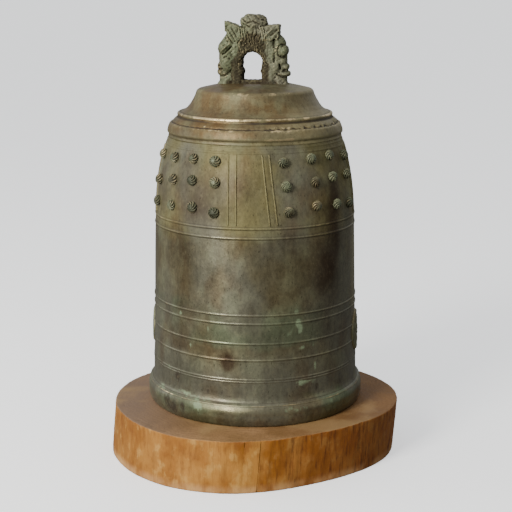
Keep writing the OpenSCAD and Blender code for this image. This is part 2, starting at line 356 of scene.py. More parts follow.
def make_crown():
    outside = drawn(
        [(0.6, 437), (30, 436.6), (50, 435.5), (65, 432.4)]
        + arc(74.0, 423.7, 6.4, 72, 8, 8)
        + [(81.4, 421.5), (83.9, 416.5), (87.6, 410.0), (92.2, 404.5), (96.4, 401.4), (99.8, 399.5)]
        + arc(103.4, 396.4, 2.6, 125, -40, 9)
        + [(106.2, 392.6), (109.4, 390.2), (111.8, 387.8), (112.7, 385.6), (113.6, 385.0)]
        + [(114.8, 385.4), (116.5, 384.2), (117.9, 381.4), (119.1, 377.6), (119.7, 374.4)]
        + [(119.4, 372.4), (118.3, 371.3), (117.8, 370.6), (117.9, 369.4), (118.4, 367.6), (118.5, 366)],
        1.1,
    )
    inside = drawn(
        [(111.2, 366), (111.2, 355), (104.4, 355), (104, 374), (101, 386), (97, 391)]
        + arc(109, 429.5, 38, 236, 202, 8)
        + [(63, 423.5), (0.6, 427)],
        5.0,
    )
    line = np.vstack([outside, inside])
    grid = turned(line[:, :1], line[:, 1:], around=400)
    shown = (np.arange(len(line)) < len(outside))[:, None]
    uneven = 0.35 * waves(grid, 60, 11) + 0.15 * waves(grid, 16, 12)
    # metal that ran out along the step above the crown's lip
    near_step = hump(line[:, 1], 386.5, 2.6)[:, None]
    right = 0.35 + 0.65 * clip01(grid[..., 0] / 60 + 0.2)
    uneven += near_step * right * (1.3 * waves(grid, 12, 13) + 0.9 * waves(grid, 5, 14))
    grid[..., :2] *= 1 + (shown * uneven / np.maximum(line[:, :1], 8))[..., None]
    grid[..., 2] += near_step * right * 0.9 * waves(grid, 9, 15)
    lip = hump(line[:, 1], 378, 5.0)[:, None] * shown
    grid[..., :2] *= 1 + (lip * 0.12 * waves(grid, 3.2, 16) / 118)[..., None]
    points, faces = skin(bell(grid), caps=(0, -1))
    obj = piece("crown", points, faces, "bell", "crown_dome")
    units = (points - (0, 0, LEVEL_Z)) / UNIT
    foot = clip01(units[:, 2] - 370.5)
    # bare metal rubbed along the ring on the side where the highlight falls: partly wear, partly a painted
    # highlight
    rub_and_painted_glint = 0.9 * spot(units, -104, 395, 36, 2.4)
    keep(obj, "relief", relief_of(obj, 14, 0.6 * MM) * foot + rub_and_painted_glint)
    # paler towards the right, which is painted light on that side, and more so below the step;
    # browner above the lip and in the middle of the flank
    right, below = clip01(units[:, 0] / 110), clip01((395 - units[:, 2]) / 4)
    patchy = 0.3 * waves(points, 0.05, 17) - 0.4 * spot(units, -85, 410, 22, 10)
    keep(obj, "tone_and_painted_light", right * (1.15 + 0.6 * below) - 0.15 * (1 - below) + patchy)
    return [obj]


# ---- bosses and cords

def boss_points(turn, seed):
    """One boss about its own axis: a turban shell whose ribs twist up to the tip."""
    draw = np.random.default_rng(seed)
    ribs, twist = 8, 1.5 + 0.5 * draw.uniform(-1, 1)
    height = 7.2 * (1 + 0.1 * draw.uniform(-1, 1))
    wide = 7.0 * (1 + 0.04 * draw.uniform(-1, 1))
    around = 96
    t = np.linspace(0, 1, 26)[:, None]
    a = np.linspace(0, 2 * math.pi, around, endpoint=False)[None, :]
    r = wide * np.cos(t * math.pi / 2) ** 0.8
    z = 1.4 + (height - 1.4) * np.sin(t * math.pi / 2) ** 1.1
    rib = np.abs(np.sin(ribs / 2 * (a + twist * t + turn)))
    rise = np.sin(clip01(t * 1.15 + 0.04) * math.pi) ** 0.5
    r = r * (1 - 0.2 * rise * (1 - rib) ** 1.4) + 0.35 * rise * rib
    z = z - 1.15 * rise * (1 - rib) ** 1.2
    # the tip leans over a little, as worn castings do
    tip = clip01((t - 0.92) / 0.08)
    r = r * (1 - tip) + r.mean(1, keepdims=True) * tip
    lean = draw.uniform(-0.8, 0.8, 2)
    foot = np.array([(6.2, -1.2), (6.2, 0.0), (6.1, 0.5), (6.5, 0.9)])
    rows = [np.stack([fr * np.cos(a[0]), fr * np.sin(a[0]), np.full(around, fz)], 1) for fr, fz in foot]
    top = np.stack([r * np.cos(a) + lean[0] * t**2, r * np.sin(a) + lean[1] * t**2, z + 0 * a], -1)
    grid = np.concatenate([np.array(rows), top[:-1]])
    grid += 0.14 * waves(grid, 4, seed)[..., None]
    return skin(grid, caps=(0, -1))


def make_bosses():
    made = []
    for p, panel in enumerate(PANELS):
        for q, (row, z) in enumerate(ROWS.items()):
            lean = math.atan2(wall_r(z - 1) - wall_r(z + 1), 2)
            name = f"bosses_{panel}_{row}"
            parts = []
            for column in range(4):
                draw = np.random.default_rng(500 + 40 * p + 10 * q + column)
                beside, up = HAND_SET[name][column] if name in HAND_SET else (0.0, 0.0)
                angle = math.radians(90 * p - 45) + ZONE_TURN + COLUMN_STEP * (column - 1.5)
                angle += draw.uniform(-0.007, 0.007) + beside / WAIST_R
                high = z + draw.uniform(-0.9, 0.9) + up
                points, faces = boss_points(column + q, 100 * p + 10 * q + column)
                facing = Matrix.Rotation(angle, 3, "Z") @ Matrix.Rotation(math.pi / 2 - lean, 3, "Y")
                on_wall = (wall_r(high) * math.cos(angle), wall_r(high) * math.sin(angle), high)
                parts.append((bell((np.array(facing) @ points.T).T + on_wall), faces))
            obj = piece(f"{name}_cast", *joined(parts), "bell", name)
            keep(obj, "relief", relief_of(obj, 9, 0.3 * MM))
            tint = {"front_right": 0.12, "front_left": -0.3}.get(panel, 0.0)
            keep(obj, "stain", tint + 0.3 * waves(points_of(obj), 0.02, 81))
            made.append(obj)
    return made


def make_cords():
    """Four bands of four upright cords, which hug the wall and are a little uneven."""
    made = []
    section = np.array(
        [(-1.25, -0.7), (-1.2, 0.3), (-0.8, 0.9), (0, 1.15), (0.8, 0.9), (1.2, 0.3), (1.25, -0.7)]
    )
    for q, side in enumerate(("front", "right", "back", "left")):
        parts = []
        for x, lean in CORDS:
            z = np.linspace(-CORD_HALF, CORD_HALF, 90)[:, None] + CORD_Z
            across = x + math.tan(math.radians(lean)) * (z - CORD_Z)
            rows = np.empty((len(z), len(section), 3))
            width = section[:, 0][None, :]
            rows[..., 0] = across + width
            rows[..., 2] = z
            r = wall_r(z) + section[:, 1][None, :]
            rows[..., 1] = -np.sqrt(r**2 - rows[..., 0] ** 2)
            bump = 0.14 * waves(rows, 12, 40 + q) + 0.08 * waves(rows, 5, 50 + q)
            rows[..., :2] *= (1 + bump * (section[:, 1] > 0)[None, :] / r)[..., None]
            a = math.radians(90 * q) + ZONE_TURN
            spin = np.array([[math.cos(a), -math.sin(a), 0], [math.sin(a), math.cos(a), 0], [0, 0, 1]])
            parts.append(skin(bell(rows @ spin.T), caps=(0, -1)))
        obj = piece(f"cords_{side}_cast", *joined(parts), "bell", f"cords_{side}")
        keep(obj, "relief", relief_of(obj, 8, 1.2 * MM))
        made.append(obj)
    return made


def seat_height(rho, phi):
    """Relief of a striking seat: a rim, eight lotus petals, and a seed disc, 0 at the wall."""
    share = rho / SEAT_R
    disc = 2.0 * np.sqrt(clip01(1 - share**14))
    rim = 0.9 * hump(rho, 26.2, 1.3)
    petal_side = np.abs(np.sin(4 * phi))
    petal_end = 22.5 - 3.2 * (1 - petal_side) ** 0.7
    inside = 1 / (1 + np.exp((rho - petal_end) * 2.2)) / (1 + np.exp((9.6 - rho) * 2.5))
    petal = inside * (0.35 + 0.85 * np.sin(clip01((rho - 9) / 14) * math.pi)) * petal_side**0.5
    hub = 1.1 / (1 + np.exp((rho - 8.2) * 3))
    return disc + rim + petal + hub


def make_seats():
    made = []
    for side, name in ((-1, "left"), (1, "right")):
        rho = np.concatenate([[0.2], np.linspace(1, SEAT_R, 58)])[:, None]
        phi = np.linspace(0, 2 * math.pi, 192, endpoint=False)[None, :]
        h = seat_height(rho, phi)
        # seven seeds: six in a ring, and one in the middle
        for k in range(7):
            a = math.tau * k / 6
            far = 0 if k == 6 else 5.2
            dx, dz = rho * np.cos(phi) - far * math.cos(a), rho * np.sin(phi) - far * math.sin(a)
            h = h + 0.7 * np.exp(-((dx**2 + dz**2) / 1.2**2))
        rho = np.vstack([rho, [[SEAT_R]], [[0.2]]])
        h = np.vstack([h, np.full_like(phi, -1.2), np.full_like(phi, -1.2)])
        across, z = rho * np.cos(phi), SEAT_Z + rho * np.sin(phi)
        r = wall_r(z) + h
        turn = across / wall_r(z)
        grid = np.stack([side * r * np.cos(turn), side * r * np.sin(turn), z], -1)
        grid[..., :2] *= 1 + (0.12 * waves(grid, 7, 60 + side) / r)[..., None]
        points, faces = skin(bell(grid), caps=(0, -1))
        obj = piece(f"striking_seat_{name}_cast", points, faces, "bell", f"striking_seat_{name}")
        keep(obj, "relief", relief_of(obj, 10, 0.4 * MM))
        made.append(obj)
    return made


# ---- the dragon-headed loop

def ball(p, centre, radii):
    """Distance to an ellipsoid, near enough for blending."""
    q = (p - centre) / radii
    far = np.sqrt((q**2).sum(-1))
    return (far - 1) * min(radii)


def rod(p, start, end, r0, r1):
    """Distance to a round rod that tapers from r0 to r1."""
    start, end = np.array(start, float), np.array(end, float)
    way = end - start
    t = clip01((p - start) @ way / (way @ way))
    return np.sqrt(((p - start - t[..., None] * way) ** 2).sum(-1)) - (r0 + (r1 - r0) * t)


def blend(a, b, soft):
    """The union of two solids with a fillet about soft wide."""
    h = clip01(0.5 + 0.5 * (b - a) / soft)
    return b + (a - b) * h - soft * h * (1 - h)


def rounded(far, deep, edge):
    """Distance to a plate from those to its outline and its faces, with a rounded edge."""
    outside = np.hypot(np.maximum(far, 0), np.maximum(deep, 0))
    return outside + np.minimum(np.maximum(far, deep), 0) - edge


def flap(p, corners, y, thick, edge):
    """A plate whose outline in x and z is a convex polygon, given anticlockwise."""
    x, z = p[..., 0], p[..., 2]
    corners = np.array(corners, float)
    far = np.full(x.shape, -1e9)
    for (x0, z0), (x1, z1) in zip(corners, np.roll(corners, -1, 0)):
        long = math.hypot(x1 - x0, z1 - z0)
        far = np.maximum(far, ((x - x0) * (z1 - z0) - (z - z0) * (x1 - x0)) / long)
    far, deep = far + edge, np.abs(p[..., 1] - y) - thick + edge
    return rounded(far, deep, edge)


def stroke(p, width, depth, *path):
    """How much a cut along path, seen from the front or the back, lowers the surface.

    path is the x and z of each of its points; a depth below 0 raises a ridge instead.
    """
    x, z = p[..., 0], p[..., 2]
    near = np.full(x.shape, 1e9)
    for x0, z0, x1, z1 in zip(path[::2], path[1::2], path[2::2], path[3::2]):
        dx, dz = x1 - x0, z1 - z0
        t = clip01(((x - x0) * dx + (z - z0) * dz) / (dx**2 + dz**2))
        near = np.minimum(near, np.hypot(x - x0 - t * dx, z - z0 - t * dz))
    return depth * np.exp(-((near / width) ** 2)) * clip01((np.abs(p[..., 1]) - 3.0) / 3.5)


# cuts and ridges on the dragons' faces and the knot: width, depth, then x and z of each point
SLEEPY_LINES = (
    (0.85, 2, 41, 475.4, 36.5, 477.4, 28.4, 486), (2, -1.2, 42.5, 479.5, 31, 489.5),
    (1.4, -1.1, 38.6, 473.4, 32.5, 478), (1, 1.3, 38.6, 471.6, 34.6, 472.2),
    (1.6, 1.2, 31.4, 470.6, 30.6, 469.6), (1.5, 1, 27.5, 480, 25.5, 484),
    (1.3, 2.3, 45, 446.2, 37.7, 447.4, 29.8, 452.6, 25, 460, 22.9, 468),
    (1.5, 2.4, 22.6, 480, 21.2, 468, 22.4, 457), (1, 1.5, 49.5, 454.6, 41, 455.8),
    (1.2, 1.5, 46.6, 460, 45.6, 460.4), (0.9, 1.4, 37, 505, 31.5, 497, 25.5, 489),
    (0.9, 1.3, 33, 508, 27, 499.5, 22.5, 491), (0.9, 1.2, 28, 510, 23, 502, 19, 493),
    (1.8, 1.5, 35.4, 512, 34.8, 502), (1.2, 0.9, 44, 490, 36, 497),
)
STARING_LINES = (
    (1.5, 2.9, 28.9, 495, 28.6, 485.5), (1.3, 2.5, 29.6, 477, 29.2, 466.5),
    (1.4, 1.7, 40.6, 487.4, 39.8, 486.4), (1.1, 1, 38.8, 474.4, 38.2, 473.6),
    (1.1, 1.8, 35, 475.5, 34.2, 481, 35.8, 486.4, 39.2, 489.2, 43.4, 488.2),
    (1.1, 1.7, 35.6, 474.4, 38.8, 472.2, 42.6, 471.8), (1.6, 2.2, 43.6, 455.4, 42.8, 454.8),
    (1.2, 1.6, 48.5, 444.6, 40, 445.4, 33.5, 449), (0.9, 1.6, 49.5, 453.6, 40.5, 453.2),
    (2.2, 1.8, 26, 502, 33.4, 507.4), (2, 1.8, 31, 497.6, 35, 504),
    (1.7, -1.7, 14.6, 492.6, 17.8, 500.7, 26.8, 509), (1.5, -1, 36, 449.6, 47, 449.4),
    (0.8, 1.2, 31.8, 478.4, 29, 480.2, 30.2, 483.8, 32.6, 483.2),
    (1.2, 1.9, 24.6, 486, 23.6, 474, 24.6, 462), (0.9, 1.3, 36.6, 462.6, 37.4, 456.6),
)
KNOT_LINES = (
    (1.2, 1.5, -15, 523, -7, 517, 1, 519.5, 9, 516), (1.1, 1.3, -12, 516, -4, 512),
    (1.1, 1.3, 4, 527, 9, 522, 15, 521), (1, 1.1, -6, 526, -2, 521),
)
# the heads' lumps: middle in x, y, z, half sizes, and how softly each joins what is there
SLEEPY_LUMPS = (
    (34.0, 0, 468, 13.2, 15.0, 20.8, 1.2), (43.6, 0, 451.4, 5.6, 7.4, 4.4, 2),
    (43.0, 0, 459.6, 6.2, 9.4, 6.0, 2.4), (38.6, 0, 484.0, 9.5, 14.6, 9.4, 2.5),
    (30, 0, 491, 12, 12.6, 12, 3),
)
STARING_LUMPS = ((33.0, 0, 480, 12.6, 14.0, 22, 3), (37.0, 0, 451.5, 10.6, 10.6, 6.0, 2.5))
# the staring head's pairs, in front and behind: eye, nostril, lip, cheek and side of the snout
STARING_PAIRS = (
    (41.5, 7.6, 480.6, 6.1, 6.8, 7.4, 1.0), (43.4, 4.6, 459.2, 5.6, 5.6, 5.0, 1.2),
    (44.0, 3.4, 449.8, 6.4, 6.6, 4.6, 1.0), (31, 10.6, 460, 6.4, 4.0, 9.0, 2.4),
    (39.5, 6.0, 467, 6.6, 6.4, 7.0, 2.0),
)
# the ears' outlines in x and z
SLEEPY_EAR = ((9, 493), (37, 494), (37.4, 506), (39.6, 517.4), (40.0, 521.0), (31.3, 517.6), (9, 510.6))
STARING_EAR = ((9, 494), (37, 495), (36.6, 503), (39.4, 511.4), (37.0, 515.2), (27.3, 515.4), (9, 511.6))


def lumpy(solid, p, lumps, side=1):
    """solid with lumps blended onto it; side -1 mirrors them in y."""
    for x, y, z, *radii, soft in lumps:
        solid = blend(solid, ball(p, (x, y * side, z), radii), soft)
    return solid


def head_field(p, staring):
    """A dragon's head that looks along +X: one of the pair stares, the other looks sleepy."""
    leg = ball(p, (34.6, 0, 440), (12.2, 10.2, 30))
    leg = blend(np.maximum(leg, p[..., 2] - 470), ball(p, (37.6, 0, 431.0), (13.4, 10.6, 10.0)), 3)
    solid = lumpy(leg, p, STARING_LUMPS if staring else SLEEPY_LUMPS)
    for side in (-1, 1):
        if staring:
            solid = lumpy(solid, p, STARING_PAIRS, side)
        ear = flap(p, STARING_EAR if staring else SLEEPY_EAR, 7.4 * side, 5.8, 1.2)
        solid = blend(solid, ear, 2.2)
    # the bridge of the nose, and a crest from the brow up to the knot
    solid = blend(solid, rod(p, (43.4, 0, 468), (41.6, 0, 480), 2.8, 4.6), 2)
    solid = blend(solid, rod(p, (38, 0, 490), (26, 0, 508), 5.0, 4.0), 2.5)
    for line in STARING_LINES if staring else SLEEPY_LINES:
        solid = solid + stroke(p, *line)
    return solid


def eye_field(p):
    """Distance to the loop's eye, an arch pinched near its foot."""
    x, z = p[..., 0] + 0.8, p[..., 2]
    pinch = 1.5 * hump(z, 453.2, 3.2)
    return np.where(z > EYE_Z, np.hypot(x, z - EYE_Z), np.abs(x) + pinch) - EYE_HALF


def loop_field(p):
    """The whole loop in bell units about its own middle: arch, eye, heads, mane and knot."""
    x, y, z = p[..., 0], p[..., 1], p[..., 2]
    outer = np.where(z > 484, np.hypot(x, z - 484), np.abs(x)) - 29.5
    eye = eye_field(p)
    edge = 5.5
    arch = rounded(np.maximum(outer, -eye) + edge, np.abs(y) - 12.4 + edge, edge)
    solid = blend(arch, head_field(p, True), 2.5)
    solid = blend(solid, head_field(p * (-1, 1, 1), False), 2.5)
    knot = ball(p, (0.8, 0, 517.4), (18.9, 14.8, 12.4))
    knot = np.maximum(knot + 0.9 * waves(p, 6.5, 31), z - 528.7 + 0.5 * np.sin(x / 2.6 + 1))
    for line in KNOT_LINES:
        knot = knot + stroke(p, *line)
    solid = blend(solid, knot, 2.2)
    # strands of the mane, which fall in waves from the knot and part round the eye
    part = 1 + 0.9 * clip01((478 - z) / 30)
    sway = 1.5 * np.sin(z / 4.6 + 0.25 * x) + 2.4 * waves(p * (1, 0.3, 0.6), 11, 34)
    sway = sway + 1.1 * waves(p, 6, 35)
    groove = 1 - np.abs(np.sin((x / part + sway) * math.pi / 4.4))
    here = clip01((22.5 - np.abs(x)) / 3) * clip01((514 - z) / 5)
    here = here * clip01((z - 446) / 12)
    uneven = np.clip(0.75 + 0.9 * waves(p, 13, 33), 0.15, 1.3)
    solid = solid + 2.4 * groove**2.4 * here * uneven * clip01((np.abs(y) - 4) / 4)
    # the low sill between the legs
    sill = flap(p, ((-16, 428), (16, 428), (16, SILL_Z), (-16, SILL_Z)), 0, 11.0, 1.2)
    solid = blend(np.maximum(solid, -eye), sill, 0.8)
    return solid + 0.5 * waves(p, 14, 21) + 0.45 * waves(p, 5.5, 22) + 0.3 * waves(p, 2.6, 23)


def surface_net(field, lowest, step):
    """A closed quad mesh where field is zero, with one point per cell that it crosses."""
    inside = field < 0
    cells = tuple(np.array(field.shape) - 1)
    total, hits = np.zeros(cells + (3,)), np.zeros(cells)
    crossings = []
    for axis in range(3):
        low = tuple(slice(0, -1) if k == axis else slice(None) for k in range(3))
        high = tuple(slice(1, None) if k == axis else slice(None) for k in range(3))
        at = np.argwhere(inside[low] != inside[high])
        others = [k for k in range(3) if k != axis]
        at = at[np.all((at[:, others] > 0) & (at[:, others] < np.array(cells)[others]), 1)]
        beyond = at.copy()
        beyond[:, axis] += 1
        a, b = field[tuple(at.T)], field[tuple(beyond.T)]
        cross = at.astype(float)
        cross[:, axis] += a / (a - b)
        around = []
        for du, dv in ((-1, -1), (0, -1), (0, 0), (-1, 0)):
            cell = at.copy()
            cell[:, others[0]] += du
            cell[:, others[1]] += dv
            np.add.at(total, tuple(cell.T), cross)
            np.add.at(hits, tuple(cell.T), 1)
            around.append(np.ravel_multi_index(tuple(cell.T), cells))
        crossings.append(np.stack(around, 1))
    used = np.flatnonzero(hits)
    number = np.full(hits.size, -1)
    number[used] = np.arange(len(used))
    points = total.reshape(-1, 3)[used] / hits.reshape(-1, 1)[used] * step + lowest
    return points, number[np.vstack(crossings)].tolist()


# brown marks on the loop, the two at the foot of the legs being painted shadow under the jaws:
# x, height, width, height of the mark, amount
BROWN_AND_SHADOW_MARKS = (
    (0, 494, 17, 18, 1.7), (-20, 446, 9, 20, 1.6), (0, 521, 22, 9, 1.3), (-34, 437, 14, 9, 0.9),
    (32, 436, 14, 8, 0.9), (-30, 505, 10, 8, 0.6), (30, 500, 8, 8, 0.6),
)


def make_loop():
    """The arch, both heads, the mane and the knot, as one skin round loop_field()."""
    axes = [np.arange(a, b, LOOP_STEP) for a, b in zip(LOOP_LOWEST, LOOP_HIGHEST)]
    p = np.stack(np.meshgrid(*axes, indexing="ij"), -1)
    field = np.maximum(loop_field(p), LOOP_FOOT - p[..., 2])
    points, faces = surface_net(field, LOOP_LOWEST, LOOP_STEP)
    nodes = ("crown_loop", "dragon_head_left", "dragon_head_right", "loop_jewel")
    obj = piece("dragon_loop", bell(points + (LOOP_X, 0, 0)), faces, "bell", *nodes)
    keep(obj, "relief", relief_of(obj, 12, 0.36 * MM))
    # brown about the eye and on the inner legs, painted shadow at the foot of each leg under the jaw,
    # and green towards the outside
    brown_and_shadow = 1.15 - eye_field(points) / EYE_HALF + 0.5 * waves(points, 9, 36)
    for x, z, wide, high, amount in BROWN_AND_SHADOW_MARKS:
        brown_and_shadow += amount * np.exp(-(((points[:, 0] - x) / wide) ** 2) - ((points[:, 2] - z) / high) ** 2)
    red = ball(points, (18.5, 0, 451), (5.5, 30, 8))
    # the stain kept here includes the painted shadow under the jaws
    keep(obj, "stain", 0.15 - np.clip(brown_and_shadow, 0, 1.1) - np.clip(-red / 3, 0, 0.6))
    return [obj]


# ---- the slab

def slab_edge(turn):
    """Radius of the slab's edge in direction turn, in bell units."""
    return SLAB_MEAN_R + sum(
        size * np.cos((k + 1) * turn - math.radians(way)) for k, (size, way) in enumerate(SLAB_WAVES)
    )


def make_slab():
    """The slice of a log, with two drying cracks and a chipped upper edge."""
    turn = np.linspace(-math.pi, math.pi, 560, endpoint=False)
    near = np.radians([-0.3, -0.12, -0.06, 0, 0.06, 0.12, 0.3])
    turn = np.unique(np.concatenate([turn, near + CRACK_TURN, near + SHORT_CRACK_TURN]))
    edge = slab_edge(turn)[None, :]
    t = BASE_T / UNIT
    round_r = 1.5
    bend = np.radians(np.linspace(0, 90, 6))
    # (share of the way out, step in from the edge, height) up the side and over the top
    floor_rows = [(s, 0, 0) for s in (0.001, 0.2, 0.5, 0.8, 0.95)]
    floor_rows += [(1, 1.2, 0), (1, 0.3, 0.3), (1, 0, 1.2)]
    side_rows = [(1, 0, z) for z in np.linspace(2.5, t - round_r, 52)]
    top_rows = [(1, round_r * (1 - math.cos(b)), t - round_r * (1 - math.sin(b))) for b in bend[1:]]
    shares = np.concatenate([np.linspace(0.985, 0.6, 42), np.linspace(0.55, 0.001, 14)])
    top_rows += [(s, round_r, t) for s in shares]
    rows = np.array(floor_rows + side_rows + top_rows)
    share, in_by, height = rows[:, :1], rows[:, 1:2], rows[:, 2:]
    r = share * (edge - in_by)
    grid = np.stack([r * np.cos(turn), r * np.sin(turn), height + 0 * r], -1)
    on_side = clip01(1 - in_by / 2) * (share == 1)
    # grain along the height, broad hollows, and small chips
    flat = grid * (1, 1, 0.06)
    rough = 0.16 * waves(flat, 3, 71) + 0.3 * waves(flat, 11, 72) + 0.6 * waves(grid, 60, 73)
    rough += 0.2 * waves(grid, 9, 74) + 0.1 * waves(grid, 4, 76)
    # two drying cracks: a long one, deepest near the top and the foot, and a short one
    up = height / t
    deep = 0.5 + 3.0 * hump(up, 0.74, 0.17) + 2.5 * np.exp(-((up / 0.1) ** 2))
    short = 1.6 * hump(up, 0.93, 0.04) + 0.5 * hump(up, 0.6, 0.06)
    for middle, depth in ((CRACK_TURN, deep), (SHORT_CRACK_TURN, short)):
        open_by = clip01(1 - np.degrees(np.abs(turn - middle)) / CRACK_HALF)[None, :]
        rough = rough - depth * open_by * (height > 1)
    r = r + rough * on_side
    chips = clip01(waves(grid, 7, 77) - 0.1) * clip01((height - t + 4) / 4)
    r = r - 1.6 * chips * on_side
    rise = -0.5 * np.abs(waves(grid, 18, 75)) * (height > t - 0.1) * (share > 0.95)
    lean = SLAB_LEAN * (up - 0.5)
    grid = np.stack([r * np.cos(turn) + lean, r * np.sin(turn), height + rise], -1)
    points, faces = skin(grid * UNIT, caps=(0, -1))
    obj = piece("log_slice", points, faces, "base", "log_base")
    keep(obj, "relief", relief_of(obj, 8, 0.5 * MM))
    return obj


# ---- materials

class Nodes:
    """Short forms for building the node tree of one material or world."""

    def __init__(self, owner):
        self.owner = owner
        owner.use_nodes = True
        self.tree = owner.node_tree

    @property
    def place(self):
        return self.new("TexCoord").outputs["Object"]

    def kept(self, name):
        """The number that keep() stored with each point."""
        return self.new("Attribute", attribute_name=name).outputs["Fac"]

    def new(self, kind, inputs=(), **settings):
        """A node; kind is its type without the word ShaderNode in front."""
        node = self.tree.nodes.new("ShaderNode" + kind)
        for key, value in settings.items():
            setattr(node, key, value)
        for key, value in dict(inputs).items():
            self.feed(node.inputs[key], value)
        return node

    def feed(self, socket, value):
        if isinstance(value, bpy.types.NodeSocket):
            self.tree.links.new(value, socket)
        else:
            socket.default_value = value

    def math(self, what, a, b=0.0, clamp=False):
        return self.new("Math", {0: a, 1: b}, operation=what, use_clamp=clamp).outputs[0]

    def vector(self, what, a, b=(0, 0, 0), result="Vector"):
        return self.new("VectorMath", {0: a, 1: b}, operation=what).outputs[result]

    def noise(self, size, tall=1, detail=4.0, rough=0.55, shift=0.0):
        """Noise from 0 to 1, about size metres across and tall times as high."""
        scale = (1 / size, 1 / size, 1 / (size * tall))
        moved = self.new(
            "Mapping", {"Vector": self.place, "Scale": scale, "Location": (shift,) * 3}
        ).outputs[0]
        return self.new(
            "TexNoise", {"Vector": moved, "Scale": 1.0, "Detail": detail, "Roughness": rough}
        ).outputs["Fac"]

    def spread(self, value, low, high, to_low=0.0, to_high=1.0):
        """value, between low and high, taken to the other two, smoothly and no further."""
        return self.new(
            "MapRange",
            {"Value": value, "From Min": low, "From Max": high, "To Min": to_low, "To Max": to_high},
            interpolation_type="SMOOTHSTEP",
        ).outputs["Result"]

    def mix(self, share, a, b):
        node = self.new("Mix", data_type="RGBA")
        for socket, value in zip((node.inputs[0], node.inputs[6], node.inputs[7]), (share, a, b)):
            self.feed(socket, value)
        return node.outputs[2]

    def over(self, base, tint, mark, low, high, amount):
        """base, with up to amount of tint over it as mark goes from low to high."""
        return self.mix(self.times(self.spread(mark, low, high), amount), base, tint)

    def along(self, axis):
        return self.new("SeparateXYZ", {0: self.place}).outputs[axis]

    def height(self):
        return self.along("Z")

    def ramp(self, value, stops):
        node = self.new("ValToRGB", {0: value})
        ramp = node.color_ramp
        while len(ramp.elements) < len(stops):
            ramp.elements.new(0.5)
        for element, (at, colour) in zip(ramp.elements, stops):
            element.position = at
            element.color = colour
        return node.outputs["Color"]

    def bump(self, height, distance, below=None, strength=1.0):
        inputs = {"Height": height, "Distance": distance, "Strength": strength}
        if below is not None:
            inputs["Normal"] = below
        return self.new("Bump", inputs).outputs["Normal"]

    def times(self, *values):
        """The product of several numbers."""
        product = values[0]
        for value in values[1:]:
            product = self.math("MULTIPLY", product, value)
        return product

    def finish(self, **sockets):
        shader = self.tree.nodes["Principled BSDF"]
        for key, value in sockets.items():
            self.feed(shader.inputs[key.replace("_", " ")], value)
        return self.owner


def colour(red, green, blue):
    """A colour named by its screen values from 0 to 255, as the shader needs it."""
    return tuple(
        c / 12.92 if c <= 0.04045 else ((c + 0.055) / 1.055) ** 2.4
        for c in (red / 255, green / 255, blue / 255)
    ) + (1.0,)


OLIVE = colour(112, 105, 68)
GREY_GREEN = colour(98, 104, 80)
GREY = colour(104, 102, 86)
BROWN = colour(106, 84, 48)
BROWN_GREY = colour(98, 90, 66)
LIP_DARK = colour(86, 84, 60)
LIP_PALE = colour(98, 106, 80)
RUST = colour(86, 60, 30)
DARK_BROWN = colour(50, 31, 12)
DEEP = colour(34, 24, 12)
DARK_GREEN = colour(46, 50, 36)
PALE_GREEN = colour(128, 136, 104)
VERDIGRIS = colour(126, 143, 111)
WORN = colour(150, 142, 106)
BARE = colour(214, 192, 146)


